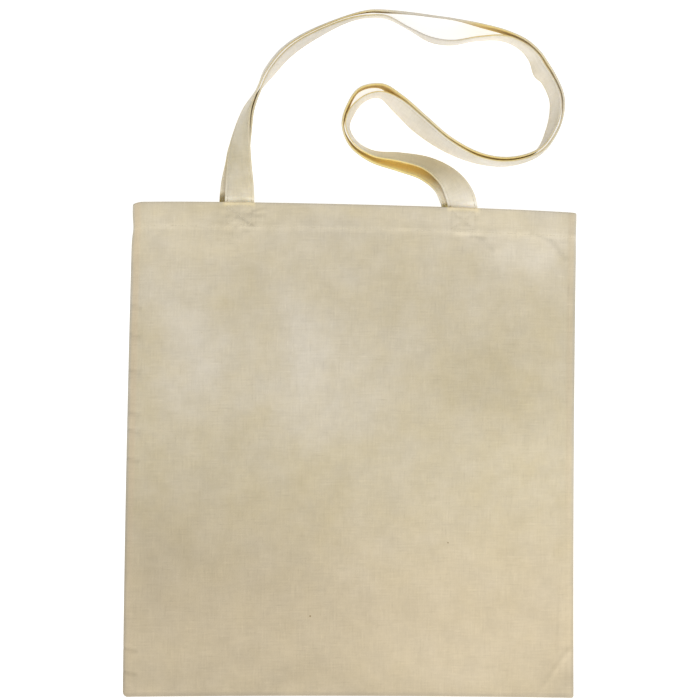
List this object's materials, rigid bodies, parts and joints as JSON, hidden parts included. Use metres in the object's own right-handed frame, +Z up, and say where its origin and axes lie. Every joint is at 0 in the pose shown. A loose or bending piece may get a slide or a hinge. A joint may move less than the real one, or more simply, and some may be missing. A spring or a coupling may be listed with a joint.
{
  "type": "cotton tote bag",
  "caption": "Flat unbleached cotton tote bag lying on its back, mouth hemmed inwards, with a front and a back carrying strap standing on edge in one long loop.",
  "frame": {"origin": "middle of the back panel's outer face, on the surface that the bag lies on", "axes": "+X to the right as the picture shows it, +Y from the bottom seam towards the mouth and straps, +Z up off the surface"},
  "size_m": [0.3831, 0.5852, 0.0259],
  "materials": {
    "bag_cotton": "unbleached plain-weave cotton, matt",
    "strap_cotton": "unbleached cotton strap folded from the same cloth, matt"
  },
  "bodies": {
    "root": {"front_panel": "bag_cotton", "back_panel": "bag_cotton", "front_strap": "strap_cotton", "back_strap": "strap_cotton"}
  },
  "joints": []
}
